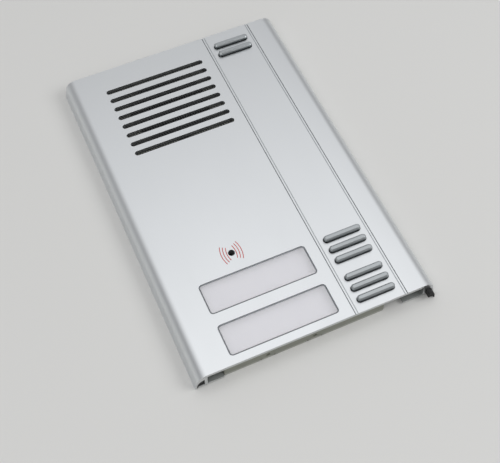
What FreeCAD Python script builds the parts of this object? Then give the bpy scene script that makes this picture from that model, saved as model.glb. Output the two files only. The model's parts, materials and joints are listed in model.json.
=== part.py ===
import FreeCAD, Part
import os
from math import hypot, sqrt, atan2

import Sketcher

# The part is a flat door intercom module that lies on its back: X to the right across the
# face, Y up the module towards its top end, Z out of the wall. The origin is the middle of
# the rear plane, the plane that meets the wall.

SIZES = [
    # Extruded face
    ("module_length", 200.0, "face, top end to bottom end"),
    ("module_width", 132.4, "face, side to side"),
    ("module_depth", 11.0, "wall plane to the front of the face"),
    ("face_wall", 2.0, "thickness of the flat face"),
    ("side_radius", 6.0, "rounding between the face and each side"),
    ("side_lean", 1.0, "how far each side leans in from the wall to the rounding"),
    ("skin_wall", 0.9, "thickness of a side at the wall"),
    ("web_inset", 5.3, "side of the module to the outer face of the web"),
    ("web_wall", 1.6, "thickness of the web beside each rail"),
    ("pocket_drop", 4.0, "front of the face down to the top of the seal pocket"),
    ("pocket_radius", 4.8, "rounding of the seal pocket"),
    ("flange_lift", 1.0, "wall plane up to the rail flange"),
    ("flange_wall", 1.0, "thickness of the rail flange"),
    ("left_reach", 15.5, "left side of the module to the edge of its rail flange"),
    ("right_reach", 18.0, "right side of the module to the edge of its rail flange"),
    ("slit_width", 0.6, "slit that the seal lip passes through"),
    ("groove_width", 0.45, "fine lengthwise groove in the face"),
    ("groove_pitch", 1.3, "groove to groove within a pair"),
    ("outer_groove_depth", 0.5, "depth of the outer groove of a pair"),
    ("inner_groove_depth", 0.3, "depth of the groove beside the strip"),
    ("strip_inset", 31.3, "right side of the module to the middle of the strip between the grooves"),
    ("strip_width", 27.8, "pair of grooves to pair of grooves"),
    # Openings of the face
    ("row_pitch", 6.69, "spacing of the grille slots and of the bars"),
    ("top_inset", 16.6, "top end to the first grille slot"),
    ("grille_rows", 8.0, "number of grille slots"),
    ("field_margin", 20.9, "left side of the module to the grille slots and windows"),
    ("field_gap", 10.3, "grille slots and windows to the bar openings"),
    ("slot_height", 3.0, "height of a grille slot"),
    ("bar_length", 21.4, "length of a bar opening"),
    ("bar_height", 3.8, "height of a bar opening"),
    ("call_inset", 13.3, "bottom end to the middle of the lower call row"),
    ("call_pitch", 24.4, "lower call row to upper call row"),
    ("window_height", 17.8, "name window opening, lengthways"),
    ("window_corner", 2.0, "rounding of the name window opening"),
    ("mic_offset", 6.2, "microphone hole, left of the middle of the windows"),
    ("mic_inset", 57.5, "bottom end to the microphone hole"),
    ("mic_hole", 3.6, "diameter of the microphone hole"),
    # Seals
    ("seal_gap", 0.1, "seal strip to the pocket around it"),
    ("seal_inset", 0.3, "end of the face to the end of a seal strip"),
    ("seal_overhang", 3.0, "right seal strip past the bottom end"),
    # Chassis and rear cover
    ("chassis_gap", 0.3, "chassis to the rail flanges"),
    ("end_inset", 1.0, "end of the face to the end of the chassis"),
    ("front_wall", 2.0, "chassis wall behind the face"),
    ("side_wall", 1.8, "chassis wall around its edge"),
    ("chassis_corner", 1.0, "rounding of the chassis corners"),
    ("cover_wall", 1.6, "thickness of the rear cover"),
    ("cable_width", 10.6, "width of the cable corner"),
    ("cable_length", 6.5, "length of the cable corner"),
    ("part_gap", 0.2, "ordinary gap between a piece and its recess"),
    ("boss_width", 6.0, "square boss for a rear cover screw"),
    ("boss_inset", 4.2, "edge of the chassis to a cover screw"),
    ("screw_room", 4.0, "edge of the audio board to the cover screws beside it"),
    ("cover_shank", 1.1, "radius of a cover screw"),
    ("cover_head", 2.2, "radius of a cover screw head"),
    ("cover_grip", 5.4, "length of a cover screw"),
    ("tab_width", 0.8, "snap tab at the bottom edge of the chassis"),
    ("tab_room", 0.5, "notch of the rear cover round a snap tab"),
    ("tab_length", 1.2, "snap tab, lengthways"),
    ("lock_spacing", 25.6, "locking screw to locking screw"),
    ("lock_offset", 13.95, "middle of the locking screws, left of the centre"),
    ("lock_pilot", 1.15, "radius of the locking screw hole"),
    ("lock_depth", 15.0, "depth of the locking screw hole"),
    ("lock_boss", 6.0, "width of the locking screw boss"),
    ("lock_height", 3.5, "wall plane to the middle of the locking screw hole"),
    ("tab_spread", 7.5, "snap tab to snap tab across a locking screw boss"),
    # Studs that hold the chassis to the face
    ("stud_radius", 1.5, "stud"),
    ("stud_length", 4.5, "stud, from the back of the face"),
    ("nut_width", 5.5, "nut across its flats"),
    ("nut_height", 2.2, "nut"),
    ("stud_top", 7.0, "end of the chassis to the upper studs"),
    ("stud_inset", 17.4, "left side of the chassis to the left studs"),
    # Loudspeaker
    ("mesh_wall", 0.5, "perforated sheet behind the grille"),
    ("mesh_margin", 1.5, "perforated sheet past the grille slots"),
    ("speaker_radius", 25.0, "rim of the loudspeaker"),
    ("rim_width", 2.7, "flat rim of the loudspeaker"),
    ("rim_wall", 0.7, "sheet thickness of the basket"),
    ("basket_opening", 12.0, "width of an opening of the basket"),
    ("ledge_wall", 0.8, "chassis ledge in front of the rim"),
    ("ledge_width", 2.2, "chassis ledge over the rim"),
    ("gasket_wall", 0.5, "foam ring in front of the rim"),
    ("cone_wall", 0.3, "cone sheet"),
    ("cone_drop", 1.8, "depth of the cone"),
    ("cap_height", 1.0, "height of the dust cap"),
    ("cap_radius", 4.2, "flat top of the dust cap"),
    ("coil_radius", 7.0, "inside of the voice coil"),
    ("coil_wall", 0.35, "voice coil"),
    ("coil_length", 2.0, "voice coil"),
    ("yoke_wall", 1.0, "cup of the magnet system"),
    ("magnet_gap", 0.45, "magnetic gap on each side of the coil"),
    ("magnet_height", 1.2, "magnet disc"),
    ("pole_wall", 0.7, "pole disc on the magnet"),
    ("yoke_clearance", 0.3, "rear cover to the cup"),
    ("clip_reach", 1.5, "clip over the rim of the loudspeaker"),
    ("clip_screw_room", 4.0, "rim of the loudspeaker to a clip screw"),
    ("clip_wall", 0.8, "clip sheet"),
    ("clip_width", 6.0, "clip"),
    ("small_shank", 0.9, "radius of a small screw"),
    ("small_head_width", 3.3, "small screw head across its flats"),
    ("small_head_height", 0.9, "small screw head"),
    ("small_grip", 4.0, "small screw, under its head"),
    # Name windows
    ("pane_wall", 1.2, "clear pane"),
    ("pane_lap", 1.8, "pane past the window opening"),
    ("pane_fit", 0.25, "raised middle of the pane to the window opening"),
    ("pane_drop", 0.4, "front of the face down to the raised middle of the pane"),
    ("card_wall", 0.3, "name card"),
    ("guide_lap", 0.3, "light guide past the window opening"),
    ("guide_wall", 1.3, "light guide in the opening"),
    ("guide_foot_reach", 1.4, "light guide foot past the opening"),
    ("peg_width", 2.4, "square peg between light guide and key board"),
    ("peg_inset", 2.4, "edge of the window opening to a peg"),
    ("left_lamp_room", 4.55, "left locking screw boss to the lamps on its left"),
    ("right_lamp_room", 1.05, "right locking screw boss to the lamps on its right"),
    ("lamp_size", 2.8, "lamp"),
    ("lamp_height", 1.0, "lamp"),
    # Bell buttons
    ("bar_gap", 0.3, "bar to the edge of its opening"),
    ("bar_rise", 2.4, "bar above the face"),
    ("bar_edge", 0.7, "bevel around the top of a bar"),
    ("base_lap", 0.8, "button base past the bar openings"),
    ("base_wall", 1.2, "button base"),
    ("base_gap", 0.3, "button base to the chassis"),
    ("bell_travel", 1.0, "stroke of a bell button"),
    ("dome_offset", 3.4, "rubber dome, left of the middle of the bars"),
    ("dome_radius", 4.2, "rubber dome at its foot"),
    ("dome_neck", 2.8, "rubber dome at its top"),
    ("dome_skirt", 0.6, "wall of the rubber dome"),
    ("pill_radius", 1.8, "contact pill"),
    ("pill_height", 1.3, "contact pill"),
    ("dome_cap", 1.2, "solid top of the rubber dome"),
    # Microphone
    ("capsule_radius", 3.0, "microphone capsule"),
    ("capsule_height", 2.7, "microphone capsule"),
    ("boot_wall", 1.8, "rubber boot around the capsule"),
    ("boot_bore", 1.0, "radius of the hole through the boot"),
    # Boards
    ("board_wall", 1.6, "circuit board"),
    ("key_board_drop", 4.8, "back of the face to the front of the key board"),
    ("board_gap", 8.0, "audio board to key board, lengthways"),
    ("channel_gap", 0.7, "key board to the cable channel"),
    ("post_width", 4.0, "square post for a key board screw"),
    ("post_inset", 6.4, "left side of the chassis to the left posts"),
    ("post_drop", 6.0, "top edge of the key board to the upper posts"),
    ("speaker_room", 6.0, "rim of the loudspeaker to the audio board"),
    ("call_room", 32.3, "middle of the upper call row to the audio board"),
    ("audio_rim", 5.0, "chassis rim that the audio board sits on"),
    ("clamp_width", 4.0, "rear cover post behind the audio board"),
    ("terminal_poles", 6.0, "poles of the terminal strip"),
    ("pole_pitch", 3.5, "pole to pole"),
    ("terminal_width", 8.0, "terminal strip, lengthways"),
    ("terminal_height", 3.5, "terminal strip"),
    ("strip_cheek", 1.2, "end wall of the terminal strip"),
    ("wire_hole", 2.1, "width of a wire hole"),
    ("wire_hole_height", 1.9, "height of a wire hole"),
    ("wire_hole_depth", 5.6, "depth of a wire hole"),
    ("release_width", 1.1, "release slot"),
    ("release_length", 2.4, "release slot"),
    ("release_depth", 0.7, "release slot"),
    ("inlet_margin", 2.0, "room above and below the terminal strip"),
    ("inlet_width", 11.0, "room beside the terminal strip for the cable"),
    ("trimmer_size", 6.5, "trimmer body"),
    ("trimmer_height", 2.6, "trimmer body"),
    ("trimmer_spacing", 13.0, "trimmer to trimmer"),
    ("trimmer_inset", 16.6, "left wall of the chassis to the first trimmer"),
    ("terminal_offset", 40.0, "first trimmer to the middle of the terminal strip"),
    ("terminal_rise", 10.0, "bottom edge of the audio board to the terminals and trimmers"),
    ("rotor_radius", 2.0, "trimmer rotor"),
    ("rotor_height", 1.6, "trimmer rotor"),
    ("rotor_gap", 0.07, "rotor to its bore"),
    ("driver_slot", 0.7, "screwdriver slot in a rotor, width and depth"),
    ("parts_rise", 16.0, "terminals and trimmers to the other parts of the audio board"),
    ("can_radius", 1.7, "lying capacitor"),
    ("can_length", 7.0, "lying capacitor"),
    ("can_pitch", 6.0, "capacitor to capacitor"),
    ("chip_width", 4.0, "amplifier chip"),
    ("chip_length", 9.0, "amplifier chip"),
    ("chip_pitch", 8.0, "amplifier chip to amplifier chip"),
    ("chip_height", 1.5, "amplifier chip"),
    ("core_size", 13.0, "line transformer core"),
    ("core_length", 10.4, "line transformer core"),
    ("core_height", 3.4, "line transformer core"),
    ("link_width", 14.0, "flat cable between the boards"),
    ("link_room", 4.1, "rubber boot of the microphone to the flat cable"),
    ("link_wall", 0.4, "flat cable between the boards"),
    ("lead_width", 2.4, "two-wire lead of the loudspeaker"),
    ("lead_wall", 0.9, "two-wire lead of the loudspeaker"),
    ("solder_lap", 2.4, "end of a cable that lies on what it is soldered to"),
]

doc = FreeCAD.newDocument("door_intercom_module")


class Size:
    """A length held both as a number and as the spreadsheet expression that gives it."""

    def __init__(self, value, text):
        self.value = value
        self.text = text

    def __add__(self, other):
        other = as_size(other)
        return Size(self.value + other.value, f"({self.text} + {other.text})")

    def __sub__(self, other):
        other = as_size(other)
        return Size(self.value - other.value, f"({self.text} - {other.text})")

    def __mul__(self, other):
        other = as_size(other)
        return Size(self.value * other.value, f"({self.text} * {other.text})")

    def __truediv__(self, other):
        other = as_size(other)
        return Size(self.value / other.value, f"({self.text} / {other.text})")

    def __neg__(self):
        return Size(-self.value, f"(0 - {self.text})")

    __radd__ = __add__
    __rmul__ = __mul__


def as_size(number):
    if isinstance(number, Size):
        return number
    text = f"{number}" if number >= 0 else f"(0 - {-number})"
    return Size(float(number), text)


class Driving:
    """The spreadsheet's lengths, each under its own alias."""


def make_sheet():
    sheet = doc.addObject("Spreadsheet::Sheet", "Sizes")
    lengths = Driving()
    for row, (alias, value, meaning) in enumerate(SIZES, start=1):
        sheet.set(f"A{row}", meaning)
        sheet.set(f"B{row}", str(value))
        sheet.setAlias(f"B{row}", alias)
        setattr(lengths, alias, Size(value, f"Sizes.{alias}"))
    doc.recompute()
    return lengths


d = make_sheet()
sub_parts = []


def bind(thing, name, size):
    thing.setExpression(name, as_size(size).text)


def new_body(label, x=0, y=0, z=0):
    """A sub-part, modelled about its own origin and placed at x, y, z."""
    body = doc.addObject("PartDesign::Body", label)
    body.Label = label
    for axis, place in (("x", x), ("y", y), ("z", z)):
        bind(body, f"Placement.Base.{axis}", place)
    sub_parts.append(body)
    return body


def sketch_on(body, plane="XY_Plane", offset=0):
    """An empty sketch on one of the body's origin planes, moved along the plane's normal."""
    sketch = body.newObject("Sketcher::SketchObject", body.Name + "_sketch")
    support = [item for item in body.Origin.OriginFeatures if item.Role == plane][0]
    sketch.AttachmentSupport = (support, [""])
    sketch.MapMode = "FlatFace"
    bind(sketch, "AttachmentOffset.Base.z", offset)
    return sketch


def hold(sketch, geometry, point, x, y):
    """Ties a point of the sketch to its place from the origin."""
    for kind, place in (("DistanceX", x), ("DistanceY", y)):
        place = as_size(place)
        number = sketch.addConstraint(Sketcher.Constraint(kind, -1, 1, geometry, point, place.value))
        bind(sketch, f"Constraints[{number}]", place)


def hold_radius(sketch, geometry, radius):
    radius = as_size(radius)
    number = sketch.addConstraint(Sketcher.Constraint("Radius", geometry, radius.value))
    bind(sketch, f"Constraints[{number}]", radius)


def arc_between(start, end, radius, turn):
    """The short arc from start to end; turn is 1 anticlockwise, -1 clockwise."""
    chord = hypot(end[0] - start[0], end[1] - start[1])
    reach = sqrt(max(radius ** 2 - (chord / 2) ** 2, 0)) * turn
    middle_x = (start[0] + end[0]) / 2 - (end[1] - start[1]) / chord * reach
    middle_y = (start[1] + end[1]) / 2 + (end[0] - start[0]) / chord * reach
    circle = Part.Circle(FreeCAD.Vector(middle_x, middle_y, 0), FreeCAD.Vector(0, 0, 1), radius)
    angles = [atan2(y - middle_y, x - middle_x) for x, y in (start, end)]
    if turn < 0:
        angles.reverse()
    return Part.ArcOfCircle(circle, angles[0], angles[1])


def outline(sketch, corners):
    """A closed outline through corners. A corner is x, y and, where an arc leaves it, a bow:
    the arc's radius and its turn."""
    corners = [(as_size(c[0]), as_size(c[1]), c[2] if len(c) > 2 else None) for c in corners]
    ends = []
    for here, following in zip(corners, corners[1:] + corners[:1]):
        start = (here[0].value, here[1].value)
        end = (following[0].value, following[1].value)
        if here[2]:
            radius, turn = as_size(here[2][0]), here[2][1]
            number = sketch.addGeometry(arc_between(start, end, radius.value, turn))
            hold_radius(sketch, number, radius)
            ends.append((number, 1, 2) if turn > 0 else (number, 2, 1))
        else:
            line = Part.LineSegment(FreeCAD.Vector(*start, 0), FreeCAD.Vector(*end, 0))
            ends.append((sketch.addGeometry(line), 1, 2))
    for index, (number, first, last) in enumerate(ends):
        before, _, before_last = ends[index - 1]
        sketch.addConstraint(Sketcher.Constraint("Coincident", before, before_last, number, first))
        hold(sketch, number, first, corners[index][0], corners[index][1])


def rectangle(sketch, x, y, width, height, corner=None):
    """A rectangle about x, y, with rounded corners where a radius is given."""
    left, right = x - width / 2, x + width / 2
    low, high = y - height / 2, y + height / 2
    if corner is None:
        outline(sketch, [(left, low), (right, low), (right, high), (left, high)])
        return
    bow = (corner, 1)
    outline(sketch, [
        (left + corner, low), (right - corner, low, bow),
        (right, low + corner), (right, high - corner, bow),
        (right - corner, high), (left + corner, high, bow),
        (left, high - corner), (left, low + corner, bow),
    ])


def between(sketch, left, low, right, high):
    outline(sketch, [(left, low), (right, low), (right, high), (left, high)])


def stadium(sketch, x, y, length, height):
    """A slot with round ends about x, y."""
    end_radius = height / 2
    right, left = x + length / 2 - end_radius, x - length / 2 + end_radius
    high, low = y + end_radius, y - end_radius
    lines = []
    for start, end in (((left, low), (right, low)), ((right, high), (left, high))):
        segment = Part.LineSegment(
            FreeCAD.Vector(start[0].value, start[1].value, 0),
            FreeCAD.Vector(end[0].value, end[1].value, 0))
        lines.append(sketch.addGeometry(segment))
    arcs = []
    for middle, from_y, to_y, turn in ((right, low, high, 1), (left, high, low, 1)):
        arcs.append(sketch.addGeometry(arc_between(
            (middle.value, from_y.value), (middle.value, to_y.value), end_radius.value, turn)))
    hold(sketch, lines[0], 1, left, low)
    hold(sketch, lines[0], 2, right, low)
    hold(sketch, lines[1], 1, right, high)
    hold(sketch, lines[1], 2, left, high)
    for arc, first, last, middle in ((arcs[0], (lines[0], 2), (lines[1], 1), right),
                                     (arcs[1], (lines[1], 2), (lines[0], 1), left)):
        sketch.addConstraint(Sketcher.Constraint("Coincident", arc, 1, *first))
        sketch.addConstraint(Sketcher.Constraint("Coincident", arc, 2, *last))
        number = sketch.addConstraint(Sketcher.Constraint("DistanceX", -1, 1, arc, 3, middle.value))
        bind(sketch, f"Constraints[{number}]", middle)


def circle(sketch, x, y, radius):
    x, y, radius = as_size(x), as_size(y), as_size(radius)
    number = sketch.addGeometry(
        Part.Circle(FreeCAD.Vector(x.value, y.value, 0), FreeCAD.Vector(0, 0, 1), radius.value))
    hold(sketch, number, 3, x, y)
    hold_radius(sketch, number, radius)


def circles(sketch, places, radius):
    for x, y in places:
        circle(sketch, x, y, radius)


def hexagon(sketch, x, y, width):
    """A hexagon of this width across its flats, with corners to the left and right."""
    corner = width / sqrt(3)
    outline(sketch, [
        (x + corner, y), (x + corner / 2, y + width / 2), (x - corner / 2, y + width / 2),
        (x - corner, y), (x - corner / 2, y - width / 2), (x + corner / 2, y - width / 2),
    ])


def feature(body, kind, sketch):
    made = body.newObject("PartDesign::" + kind, f"{body.Name}_{kind.lower()}")
    made.Profile = sketch
    sketch.Visibility = False
    body.Tip = made
    return made


def pad(body, sketch, length, down=False, both_ways=False):
    made = feature(body, "Pad", sketch)
    bind(made, "Length", length)
    made.Reversed = down
    if both_ways:
        made.SideType = "Symmetric"
    return made


def pocket(body, sketch, depth, up=False):
    """Cuts down from the sketch, or up; stops the build where nothing is cut."""
    doc.recompute()
    before = body.Shape.Volume
    made = feature(body, "Pocket", sketch)
    bind(made, "Length", depth)
    made.Reversed = up
    doc.recompute()
    if body.Shape.Volume >= before:
        raise RuntimeError(f"{made.Name} cuts nothing")
    return made


def revolve(body, corners):
    """A full turn about the body's own Z axis of an outline in radius and height."""
    sketch = sketch_on(body, "XZ_Plane")
    outline(sketch, corners)
    made = feature(body, "Revolution", sketch)
    made.ReferenceAxis = (sketch, ["V_Axis"])
    made.Angle = 360
    return made


def repeat(body, made, sketch, pitch, count, axis="V_Axis", backwards=True):
    """Copies a feature in a row along one of the sketch's axes."""
    row = body.newObject("PartDesign::LinearPattern", f"{made.Name}_row")
    row.Originals = [made]
    row.Direction = (sketch, [axis])
    row.Reversed = backwards
    row.Mode = "Spacing"
    bind(row, "Offset", pitch)
    bind(row, "Occurrences", count)
    body.Tip = row
    return row


def around(body, made, count):
    """Copies a feature round the body's own Z axis."""
    ring = body.newObject("PartDesign::PolarPattern", f"{made.Name}_ring")
    ring.Originals = [made]
    ring.Axis = ([item for item in body.Origin.OriginFeatures if item.Role == "Z_Axis"][0], [""])
    ring.Angle = 360
    ring.Occurrences = count
    body.Tip = ring
    return ring


# Places that several pieces share
half_width = d.module_width / 2
half_length = d.module_length / 2
face = d.module_depth
face_back = face - d.face_wall
wall_front = face_back - d.front_wall
key_front = face_back - d.key_board_drop
key_back = key_front - d.board_wall
audio_back = wall_front - d.board_wall

strip_x = half_width - d.strip_inset
field_left = d.field_margin - half_width
field_right = strip_x - d.bar_length / 2 - d.field_gap
field_x = (field_left + field_right) / 2
field_width = field_right - field_left
first_row_y = half_length - d.top_inset
grille_y = first_row_y - d.row_pitch * (d.grille_rows - 1) / 2
grille_height = d.row_pitch * (d.grille_rows - 1) + d.slot_height
lower_call_y = d.call_inset - half_length
upper_call_y = lower_call_y + d.call_pitch
mic_x = field_x - d.mic_offset
mic_y = d.mic_inset - half_length

chassis_left = d.left_reach + d.chassis_gap - half_width
chassis_right = half_width - d.right_reach - d.chassis_gap
chassis_end = half_length - d.end_inset
inner_left = chassis_left + d.side_wall
inner_right = chassis_right - d.side_wall
inner_end = chassis_end - d.side_wall
cable_left = chassis_right - d.cable_width
cable_top = d.cable_length - chassis_end
# Middle of the free strip between the panes and the button bases
column_x = (field_right + d.pane_lap + strip_x - d.bar_length / 2 - d.base_lap) / 2

audio_top = grille_y - d.speaker_radius - d.speaker_room
audio_bottom = upper_call_y + d.call_room
key_board_top = audio_bottom - d.board_gap
upper_screw_y = audio_top + d.screw_room
lower_screw_y = audio_bottom - d.screw_room
terminal_y = audio_bottom + d.terminal_rise
parts_y = terminal_y + d.parts_rise

cover_screws = [(x, y)
                for y in (chassis_end - d.boss_inset, upper_screw_y, lower_screw_y)
                for x in (chassis_left + d.boss_inset, chassis_right - d.boss_inset)]
lock_screws = [-d.lock_offset - d.lock_spacing / 2, d.lock_spacing / 2 - d.lock_offset]
snap_tabs = [x + d.tab_spread / 2 * side for x in lock_screws for side in (-1, 1)]
studs = [(x, y) for y in (chassis_end - d.stud_top, lower_screw_y)
         for x in (chassis_left + d.stud_inset, column_x)]
studs.append((column_x, lower_call_y))
row_gap_y = (upper_call_y + lower_call_y) / 2
post_left = chassis_left + d.post_inset
post_top = key_board_top - d.post_drop
posts = [(post_left, post_top), (column_x, post_top),
         (post_left, row_gap_y), (strip_x - d.dome_offset, row_gap_y)]
clamps = [(x, y) for y in (audio_top - d.audio_rim / 2, audio_bottom + d.audio_rim / 2)
          for x in (inner_left + d.audio_rim, inner_right - d.audio_rim)]
trimmers = [inner_left + d.trimmer_inset, inner_left + d.trimmer_inset + d.trimmer_spacing]
terminal_x = trimmers[0] + d.terminal_offset
lamps = [lock_screws[0] - d.lock_boss / 2 - d.left_lamp_room - d.lamp_size / 2,
         lock_screws[1] + d.lock_boss / 2 + d.right_lamp_room + d.lamp_size / 2]

# Loudspeaker, from its front to its back
rim_front = face_back - d.mesh_wall - d.ledge_wall - d.gasket_wall
basket_front = rim_front - d.cone_wall
basket_back = basket_front - d.rim_wall
cup_back = d.cover_wall + d.yoke_clearance
magnet_back = cup_back + d.yoke_wall
pole_back = magnet_back + d.magnet_height
pole_front = pole_back + d.pole_wall
pole_radius = d.coil_radius - d.magnet_gap
cup_bore = d.coil_radius + d.coil_wall + d.magnet_gap
cup_radius = cup_bore + d.yoke_wall
cone_edge = d.speaker_radius - d.rim_width
clip_inner = d.speaker_radius - d.clip_reach
clip_screw_radius = d.speaker_radius + d.clip_screw_room
clip_turns = [(0, 1), (-sqrt(0.75), -0.5), (sqrt(0.75), -0.5)]
clip_screws = [(clip_screw_radius * along, clip_screw_radius * across) for along, across in clip_turns]
clip_grip = d.front_wall / 2


def side_of_face(side, reach):
    """One side of the extrusion, from the face round to the back of the flat wall."""
    lean = d.side_lean / (face - d.side_radius)
    floor = d.flange_lift + d.flange_wall
    skin = d.skin_wall + lean * floor
    run = [
        (d.side_radius + d.side_lean, face, (d.side_radius, -1)),
        (d.side_lean, face - d.side_radius),
        (as_size(0), as_size(0)),
        (d.skin_wall, as_size(0)),
        (skin, floor, (d.pocket_radius, 1)),
        (d.web_inset, face - d.pocket_drop),
        (d.web_inset, floor),
        (skin + d.slit_width, floor),
        (skin + d.slit_width, d.flange_lift),
        (reach, d.flange_lift),
        (reach, floor),
        (d.web_inset + d.web_wall, floor),
        (d.web_inset + d.web_wall, face_back),
    ]
    placed = [((half_width - corner[0]) * side, *corner[1:]) for corner in run]
    if side > 0:
        return placed
    # Walked the other way round, an arc leaves from its other end
    turned = []
    for index in range(len(placed) - 1, -1, -1):
        bow = placed[index - 1][2:] if index > 0 else ()
        turned.append((placed[index][0], placed[index][1], *bow))
    return turned


def grooves():
    """The pairs of fine grooves on either side of the strip, from left to right."""
    run = []
    left, right = strip_x - d.strip_width / 2, strip_x + d.strip_width / 2
    for middle, depth in ((left - d.groove_pitch / 2, d.outer_groove_depth),
                          (left + d.groove_pitch / 2, d.inner_groove_depth),
                          (right - d.groove_pitch / 2, d.inner_groove_depth),
                          (right + d.groove_pitch / 2, d.outer_groove_depth)):
        near, far = middle - d.groove_width / 2, middle + d.groove_width / 2
        run += [(near, face), (near, face - depth), (far, face - depth), (far, face)]
    return run


def front_profile():
    body = new_body("front_profile")
    section = sketch_on(body, "XZ_Plane")
    outline(section, grooves() + side_of_face(1, d.right_reach) + side_of_face(-1, d.left_reach))
    pad(body, section, d.module_length, both_ways=True)

    depth = d.face_wall + d.part_gap
    slot = sketch_on(body, offset=face)
    stadium(slot, field_x, first_row_y, field_width, d.slot_height)
    repeat(body, pocket(body, slot, depth), slot, d.row_pitch, d.grille_rows)

    for top_row, count in ((first_row_y + d.row_pitch, 2),
                           (upper_call_y + d.row_pitch, 3),
                           (lower_call_y + d.row_pitch, 3)):
        bar = sketch_on(body, offset=face)
        stadium(bar, strip_x, top_row, d.bar_length, d.bar_height)
        repeat(body, pocket(body, bar, depth), bar, d.row_pitch, count)

    window = sketch_on(body, offset=face)
    for y in (upper_call_y, lower_call_y):
        rectangle(window, field_x, y, field_width, d.window_height, d.window_corner)
    circle(window, mic_x, mic_y, d.mic_hole / 2)
    pocket(body, window, depth)


def seal_strip(label, side, overhang):
    """Rubber in the side pocket, with a lip through the slit down to the wall."""
    body = new_body(label, y=-(overhang + d.seal_inset) / 2)
    lean = d.side_lean / (face - d.side_radius)
    floor = d.flange_lift + d.flange_wall
    gap = d.seal_gap
    skin = d.skin_wall + lean * floor
    run = [
        (d.skin_wall + gap, as_size(0)),
        (skin + gap, floor, (d.pocket_radius, side)),
        (d.web_inset - gap, face - d.pocket_drop - gap * 2),
        (d.web_inset - gap, floor + gap),
        (skin + d.slit_width - gap, floor + gap),
        (skin + d.slit_width - gap, as_size(0)),
    ]
    section = sketch_on(body, "XZ_Plane")
    outline(section, [((half_width - corner[0]) * side, *corner[1:]) for corner in run])
    pad(body, section, d.module_length + overhang - d.seal_inset, both_ways=True)


def weld_studs():
    body = new_body("weld_studs")
    shank = sketch_on(body, offset=face_back)
    circles(shank, studs, d.stud_radius)
    pad(body, shank, d.stud_length, down=True)


def stud_nuts():
    body = new_body("stud_nuts")
    flats = sketch_on(body, offset=wall_front)
    for x, y in studs:
        hexagon(flats, x, y, d.nut_width)
        circle(flats, x, y, d.stud_radius)
    pad(body, flats, d.nut_height, down=True)


def tray_outline(sketch):
    """The edge of the chassis and the rear cover, with the cable corner cut away."""
    corner = d.chassis_corner
    bow = (corner, 1)
    outline(sketch, [
        (chassis_left + corner, -chassis_end), (cable_left, -chassis_end),
        (cable_left, cable_top), (chassis_right, cable_top),
        (chassis_right, chassis_end - corner, bow), (chassis_right - corner, chassis_end),
        (chassis_left + corner, chassis_end, bow), (chassis_left, chassis_end - corner),
        (chassis_left, corner - chassis_end, bow),
    ])


def bar_base(sketch, y, rows, gap=0):
    """The plate behind a group of bars, or the recess around it."""
    rectangle(sketch, strip_x, as_size(y), d.bar_length + (d.base_lap + gap) * 2,
              d.row_pitch * (rows - 1) + d.bar_height + (d.base_lap + gap) * 2)


def window_shape(sketch, x, y, lap):
    """A plate behind the name window opening, larger by lap all round."""
    rectangle(sketch, as_size(x), as_size(y), field_width + lap * 2, d.window_height + lap * 2)


def mesh_shape(sketch, x, y, gap=0):
    grown = (d.mesh_margin + gap) * 2
    rectangle(sketch, as_size(x), as_size(y), field_width + grown, grille_height + grown)


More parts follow.
